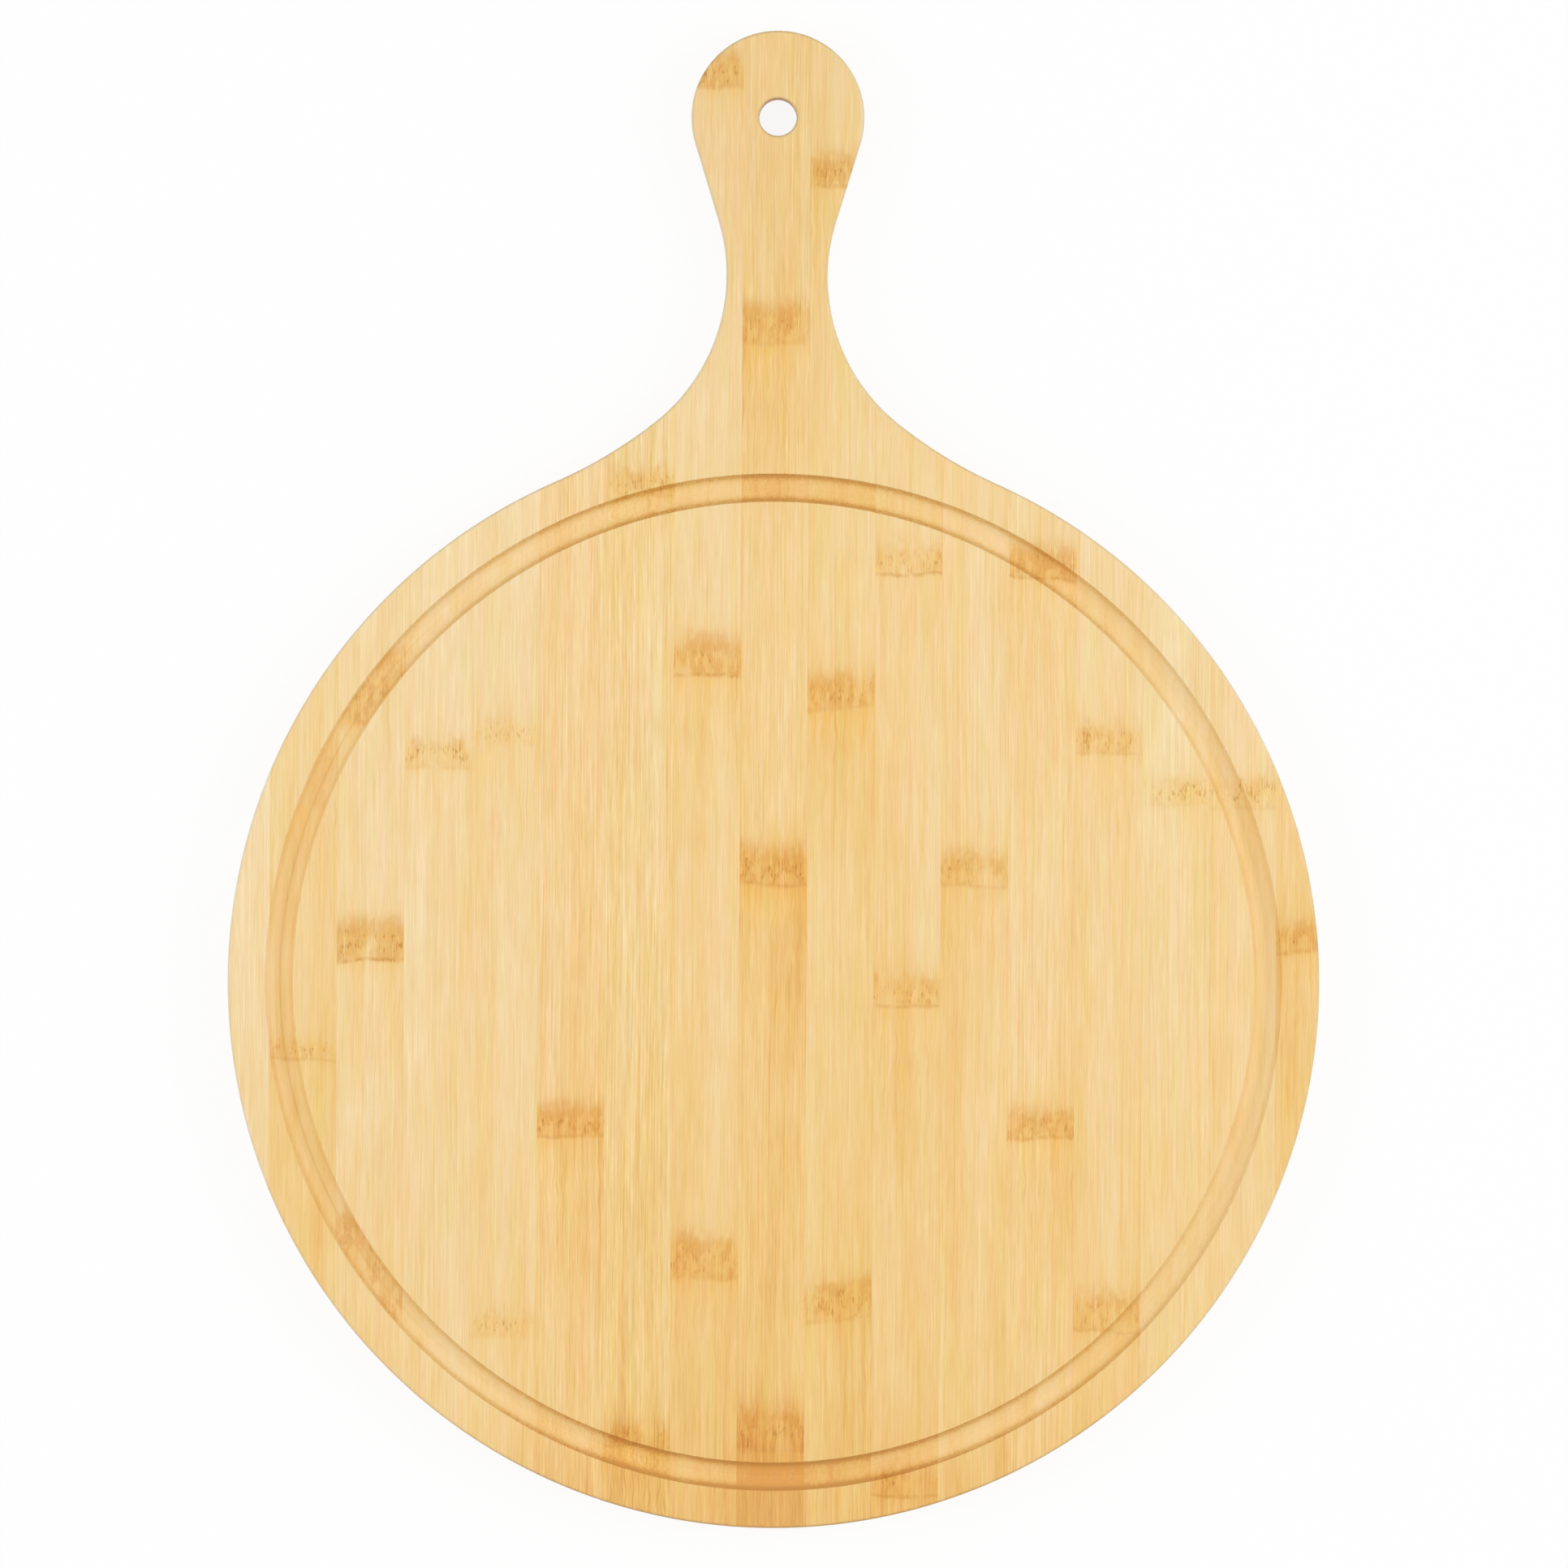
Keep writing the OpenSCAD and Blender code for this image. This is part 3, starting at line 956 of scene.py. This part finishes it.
def make_marks_and_shade(name, scene):
    """Marks and painted shade by place on the serving face. Tone is what they add to the strip's
    tone, and Shade what they take off its light. At the groove's rims both darken a line, partly
    the cut's own and partly painted shade of its steep walls, strongest at the top and the foot of
    the disc, where the side lights reach them least. Tone also rises in the groove, more towards
    the top than at the foot, along the tool line on the left, and towards the foot. Shade also
    darkens the tool line a little, paints shade in and round the hole's mouth, and takes a little
    off towards the handle's tip. Groove is 1 within the groove's cut, and Inside is 1 as well
    above it and beside its rims."""
    sizes = scene.board_sizes
    groove = Groove(sizes, BOARD_T)
    half_w, hole_r = groove.half_w, sizes.hole_r / MM
    labels = ("Tone", "Shade", "Groove", "Inside")
    g, given, wanted = node_group(name, ("Place",), labels)
    x, y, z = g.axes(g.vector("MULTIPLY", given["Place"], (1 / MM,) * 3))
    below = g.less(BOARD_T, z)
    radius = g.reach(x, y)
    off = g.absolute(g.less(radius, groove.mid_r))
    inside = g.step(off, half_w + 1.5, half_w + 1.0)
    cut = g.times(inside, g.step(below, 0.03, 1.0))
    # The rims' darker line: partly the cut's own, partly painted shade of the steep walls,
    # strongest at the top and the foot of the disc
    rims = g.times(
        g.step(below, 0.005, 0.1), g.step(off, half_w - 1.7, half_w - 0.8),
        g.step(off, half_w + 0.4, half_w - 0.2),
        g.line(g.absolute(g.math("DIVIDE", y, radius)), 0.6, 0.45),
    )
    off_line = g.absolute(g.less(radius, Groove.LINE_R))
    line = g.times(g.step(off_line, 0.6, 0.1), g.step(x, -90.0, -150.0))
    to_hole = g.reach(x, g.less(y, Outline(sizes).head[1]))
    tone = g.add(
        g.times(cut, g.line(g.step(y, -150.0, 60.0), 0.30, -0.12)),
        g.times(rims, 0.08), g.times(line, 0.25),
        g.line(g.step(y, 150.0, -190.0), 0.40, -0.13),
        g.times(g.step(y, -125.0, -172.0), 0.33),
    )
    shade_by = g.add(
        g.times(rims, 0.10), g.times(line, 0.05),
        # Painted shade in and round the hole's mouth
        g.times(g.step(to_hole, hole_r + 1.0, hole_r + 0.3), 0.14),
        # A little darker towards the handle's tip
        g.times(g.step(y, 150.0, 260.0), 0.035),
    )
    for label, value in zip(labels, (tone, shade_by, cut, inside)):
        g.put(wanted[label], value)


GROUPS = {"bamboo grain": make_grain, "bamboo knuckle": make_knuckle, "bamboo wear": make_marks_and_shade}


def strip_group(name):
    """One of the node groups that all strips share, made when it is first asked for."""
    if name not in bpy.data.node_groups:
        GROUPS[name](name, bpy.context.scene)
    return bpy.data.node_groups[name]


def nearest_band(g, y, knuckles):
    """Three vectors with the nine values of the knuckle that is nearest along the grain: each
    starts as the lowest one's and changes to the next one's halfway between the two."""
    bands = sorted(knuckles)
    starts = (0, 3, 6)
    parts = [tuple(bands[0][k:k + 3]) for k in starts]
    for low, high in zip(bands, bands[1:]):
        gate = g.math("GREATER_THAN", y, (low.y + high.y) / 2)
        for i, k in enumerate(starts):
            change = tuple(np.subtract(high[k:k + 3], low[k:k + 3]).tolist())
            parts[i] = g.vector("MULTIPLY_ADD", gate, change, parts[i])
    return dict(zip(("Where", "What", "How"), parts))


def bamboo(name, middle, turned, seed, looks, served=False):
    """Bamboo of one strip, in millimetres from the strip's middle line with the grain along Y,
    which is the board's X where the strip is turned. A thin darker line marks each glue joint,
    beside the strip and between the plies. The eased edges, and the sides a little, are tinted
    greyer and cooler. A stain, and the ripple of the fibres, spread from each knuckle downwards.
    The marks and the painted shade of the face are on the served strips only."""
    material = bpy.data.materials.new(name)
    material.use_nodes = True
    material.node_tree.nodes.clear()
    g = Graph(material.node_tree)
    at = g.node("ShaderNodeTexCoord", out="Object")
    place = g.node("ShaderNodeMapping", {
        "Vector": at, "Scale": (1 / MM,) * 3,
        "Rotation": (0, 0, math.pi / 2 if turned else 0),
        "Location": (middle if turned else -middle, 0, 0),
    })
    x, y, z = g.axes(place)
    to_face = g.math("MINIMUM", z, g.less(BOARD_T, z))
    seam = g.step(g.absolute(x), STRIP_W / 2 - 0.35, STRIP_W / 2)
    to_joint = g.math("PINGPONG", z, PLY_T / 2)
    joint = g.times(g.step(to_joint, 0.16, 0.02), g.step(to_face, 0.5, 1.5))
    level = g.add(looks.tone, g.times(seam, 0.16), g.times(joint, 0.8))
    # The eased edges get the full greyer, cooler tint, and the sides a quarter of it
    wall = g.step(to_face, 1.0, 2.2)
    cool_edge_tint = g.times(g.step(to_face, 0.01, 0.3), g.line(wall, -0.75, 1.0))
    figure, shade_by, ripple = looks.figure, 0.0, 0.0
    if served:
        # Marks and painted shade of the served face: tone, light taken off, and the groove's masks
        marks_and_shade = g.group("bamboo wear", {"Place": at})
        level = g.add(level, marks_and_shade["Tone"], g.times(marks_and_shade["Groove"], looks.heart))
        shade_by = marks_and_shade["Shade"]
        cool_edge_tint = g.times(cool_edge_tint, g.line(marks_and_shade["Inside"], -1.0, 1.0))
        figure = g.line(marks_and_shade["Groove"], -0.5, figure)
    if looks.knuckles:
        band = nearest_band(g, y, looks.knuckles)
        under = g.less(g.axes(band["Where"])[0], y)
        glow, _, deep = g.axes(band["How"])
        stain = g.times(
            g.step(under, -22.0, 2.0), g.step(under, 80.0, 15.0), glow,
            g.line(deep, -0.42, 0.42),
        )
        level = g.add(level, stain)
        ripple = g.times(
            g.step(under, 6.0, 14.0), g.step(under, 50.0, 20.0), g.math("MINIMUM", glow, 0.5)
        )
    grain = g.group("bamboo grain", {
        "Place": place, "Seed": seed, "Tone": level, "Hue": looks.hue, "Figure": figure,
        "Shade": shade_by, "Ripple": ripple,
        "End grain": g.node("ShaderNodeAttribute", out="Fac", attribute_name=END_GRAIN),
    })
    colour = grain["Color"]
    if looks.knuckles:
        inputs = {"Color": colour, "Place": place, "Seed": seed, **band}
        colour = g.group("bamboo knuckle", inputs)["Color"]
    relief = g.node(
        "ShaderNodeBump", {"Height": grain["Height"], "Distance": 0.03 * MM, "Strength": 0.6}
    )
    shader = g.node("ShaderNodeBsdfPrincipled", {
        "Base Color": g.tinted(cool_edge_tint, colour, bpy.context.scene.board_colours.cool_edge_tint),
        "Roughness": grain["Sheen"], "Normal": relief, "Specular IOR Level": 0.35,
    })
    g.node("ShaderNodeOutputMaterial", {"Surface": shader}, out=None)
    return material


def spread(count, share):
    """A number from 0 to 1 that counting up spreads evenly: the fraction of count * share."""
    return (count * share) % 1


def grown_knuckles(count, low, high):
    """Bands about as far apart as the joints of a stalk, for the plies that lie out of sight:
    the first lies at a golden-ratio share of the spacing, and each is a little different."""
    start = low + spread(count, SPREADS[0]) * KNUCKLE_SPACING
    bands = []
    for k, y in enumerate(np.arange(start, high, KNUCKLE_SPACING)):
        turn = (count * SPREADS[1] + k * SPREADS[2]) % 1
        bands.append(Knuckle(
            float(y), 8 + 4 * turn, 0.2 * turn - 0.1, 0.45 + 0.4 * turn, 0.5, 0.7 - 0.5 * turn,
            0.4,
        ))
    return bands


def grown_looks(i, palest, knuckles):
    """Looks of strip i of a ply that lies out of sight."""
    tone = palest + 0.6 * spread(i, SPREADS[0])
    return Strip(tone, knuckles, hue=0.8 * spread(i, SPREADS[1]) - 0.4)


# The plies and the stage


def strips_of(nodes, axis, low_rim, high_rim):
    """Each strip's node, the two glue lines that bound it, and its middle line. The outermost
    strips run past the rim, which cuts their outer sides off."""
    for node in nodes:
        low, high = (float(corner[axis]) for corner in node_box(node))
        if node == nodes[0]:
            yield node, low_rim - BEYOND, high, high - STRIP_W / 2
        elif node == nodes[-1]:
            yield node, low, high_rim + BEYOND, low + STRIP_W / 2
        else:
            yield node, low, high, (low + high) / 2


def build_face_ply(sizes, nodes, glued_z, face_z, groove, looks_of, first_seed):
    """The strips of a face ply, from its glued side at one height to its face at another.
    looks_of gives a strip's looks from its number and its node. A ply with a groove is served
    on, and has its marks and painted shade."""
    outline = Outline(sizes)
    way = math.copysign(1, face_z - glued_z)
    edge = arris(sizes.arris_r / MM, face_z, way, glued_z)
    hole_edge = arris(sizes.hole_arris_r / MM, face_z, way, glued_z)
    rim = outline.disc_r
    for i, (node, low_x, high_x, middle) in enumerate(strips_of(nodes, 0, -rim, rim)):
        hole = (outline.head, hole_edge, sizes.hole_r / MM) if low_x < 0 < high_x else None
        material = bamboo(
            piece_name(node), middle, False, first_seed + i, looks_of(i, node),
            served=groove is not None,
        )
        add_piece(face_strip(outline, low_x, high_x, edge, hole, groove), node, material, 1)


class BOARD_OT_top_ply(bpy.types.Operator):
    """Builds the strips of the serving face, which run along the handle"""

    bl_idname = "board.top_ply"
    bl_label = "Top ply"

    def execute(self, context):
        sizes = context.scene.board_sizes
        groove = Groove(sizes, BOARD_T)
        build_face_ply(
            sizes, TOP_NODES, BOARD_T - PLY_T, BOARD_T, groove, lambda i, _: TOP_LOOKS[i],
            TOP_SEED,
        )
        return {"FINISHED"}


class BOARD_OT_bottom_ply(bpy.types.Operator):
    """Builds the strips of the underside, which run along the handle"""

    bl_idname = "board.bottom_ply"
    bl_label = "Bottom ply"

    def execute(self, context):
        def looks_of(i, node):
            low, high = node_box(node)
            return grown_looks(i, 0.25, grown_knuckles(i + 3, low[1], high[1]))

        sizes = context.scene.board_sizes
        build_face_ply(sizes, BOTTOM_NODES, PLY_T, 0.0, None, looks_of, BOTTOM_SEED)
        return {"FINISHED"}


class BOARD_OT_core_ply(bpy.types.Operator):
    """Builds the strips of the core ply, which run across the handle"""

    bl_idname = "board.core_ply"
    bl_label = "Core ply"

    def execute(self, context):
        sizes = context.scene.board_sizes
        outline = Outline(sizes)
        strips = strips_of(CORE_NODES, 1, -outline.disc_r, CAD_BOX[1].y / MM)
        for i, (node, low_y, high_y, middle) in enumerate(strips):
            hole = None
            if low_y < outline.head[1] < high_y:
                hole = outline.head, sizes.hole_r / MM
            looks = grown_looks(i, 0.3, grown_knuckles(i + 7, -CORE_REACH, CORE_REACH))
            material = bamboo(piece_name(node), middle, True, CORE_SEED + i, looks)
            shell = core_strip(outline, low_y, high_y, PLY_T, 2 * PLY_T, hole)
            add_piece(shell, node, material, 0)
        return {"FINISHED"}


def seen_rays(g):
    """1 for the rays that show a thing to the camera: straight, mirrored or through glass."""
    path = g.node("ShaderNodeLightPath", out=None)
    mirrored = g.math("MAXIMUM", path["Is Glossy Ray"], path["Is Transmission Ray"])
    return g.math("MAXIMUM", path["Is Camera Ray"], mirrored)


def build_floor(scene):
    """A wide white floor at the board's underside, which keeps the board's shadow."""
    mesh = bpy.data.meshes.new("floor")
    corners = [(x * FLOOR_REACH, y * FLOOR_REACH, 0) for x, y in
               ((-1, -1), (1, -1), (1, 1), (-1, 1))]
    mesh.from_pydata(corners, [], [(0, 1, 2, 3)])
    material = bpy.data.materials.new("white floor")
    material.use_nodes = True
    material.node_tree.nodes.clear()
    g = Graph(material.node_tree)
    diffuse = g.node("ShaderNodeBsdfDiffuse", {"Color": (FLOOR_GREY,) * 3})
    white = g.node("ShaderNodeEmission", {"Color": (1, 1, 1), "Strength": 1.0})
    share = g.times(seen_rays(g), FLOOR_WHITE)
    mixed = g.node("ShaderNodeMixShader", {0: share, 1: diffuse, 2: white})
    g.node("ShaderNodeOutputMaterial", {"Surface": mixed}, out=None)
    mesh.materials.append(material)
    floor = bpy.data.objects.new("floor", mesh)
    scene.collection.objects.link(floor)


def build_world(scene):
    """Even light from all round, which the camera sees as plain white."""
    world = bpy.data.worlds.new("studio")
    scene.world = world
    world.use_nodes = True
    world.node_tree.nodes.clear()
    g = Graph(world.node_tree)
    level = g.line(seen_rays(g), 1 - WORLD_SHARE, WORLD_SHARE)
    light = g.node("ShaderNodeBackground", {"Color": (1, 1, 1), "Strength": level})
    g.node("ShaderNodeOutputWorld", {"Surface": light}, out=None)


def build_lights(scene):
    """Two soft round lamps that face the board. A lamp of power P at a distance d, whose light
    falls at an angle a, gives the face P cos a / (pi d)^2 of a plain white light."""
    for name, place, share in SOFT_LIGHTS:
        lamp = bpy.data.lights.new(name, "AREA")
        lamp.shape, lamp.size = "DISK", LIGHT_W
        away = Vector(place).length
        lamp.energy = share * (math.pi * away) ** 2 / (place[2] / away)
        light = bpy.data.objects.new(name, lamp)
        light.location = place
        light.rotation_euler = Vector(place).to_track_quat("Z", "Y").to_euler()
        scene.collection.objects.link(light)


def build_camera(scene):
    """A camera straight above the board: lens = sensor * distance / width of the view."""
    camera = bpy.data.cameras.new("camera")
    camera.sensor_width, camera.sensor_fit = SENSOR_W, "HORIZONTAL"
    camera.lens = SENSOR_W * CAMERA_HEIGHT / VIEW_W
    camera.clip_end = CLIP_END
    viewer = bpy.data.objects.new("camera", camera)
    viewer.location = (*CAMERA_PLACE, BOARD_T * MM + CAMERA_HEIGHT)
    viewer.rotation_euler = (0, 0, CAMERA_ROLL)
    scene.collection.objects.link(viewer)
    scene.camera = viewer


class BOARD_OT_stage(bpy.types.Operator):
    """Sets up the floor, the soft light and the camera above the board"""

    bl_idname = "board.stage"
    bl_label = "Stage"

    def execute(self, context):
        scene = context.scene
        scene.view_settings.view_transform = "Standard"
        for build in (build_floor, build_world, build_lights, build_camera):
            build(scene)
        return {"FINISHED"}


class BOARD_PT_panel(bpy.types.Panel):
    """Lists the steps that build the board, and its sizes and colours"""

    bl_idname = "BOARD_PT_panel"
    bl_label = "Serving board"
    bl_space_type = "VIEW_3D"
    bl_region_type = "UI"
    bl_category = "Board"

    def draw(self, context):
        layout = self.layout
        for step in STEPS:
            layout.operator(step.bl_idname, text=step.bl_label)
        for group in (context.scene.board_sizes, context.scene.board_colours):
            box = layout.box()
            for name in group.__annotations__:
                box.prop(group, name)


STEPS = (BOARD_OT_top_ply, BOARD_OT_bottom_ply, BOARD_OT_core_ply, BOARD_OT_stage)
CLASSES = (BoardSizes, BoardColours, *STEPS, BOARD_PT_panel)


def register():
    for cls in CLASSES:
        bpy.utils.register_class(cls)
    bpy.types.Scene.board_sizes = bpy.props.PointerProperty(type=BoardSizes)
    bpy.types.Scene.board_colours = bpy.props.PointerProperty(type=BoardColours)


def unregister():
    del bpy.types.Scene.board_sizes, bpy.types.Scene.board_colours
    for cls in reversed(CLASSES):
        bpy.utils.unregister_class(cls)


def main():
    """Builds the board and the stage."""
    register()
    bpy.ops.board.top_ply()
    bpy.ops.board.bottom_ply()
    bpy.ops.board.core_ply()
    bpy.ops.board.stage()


if __name__ == "__main__":
    main()
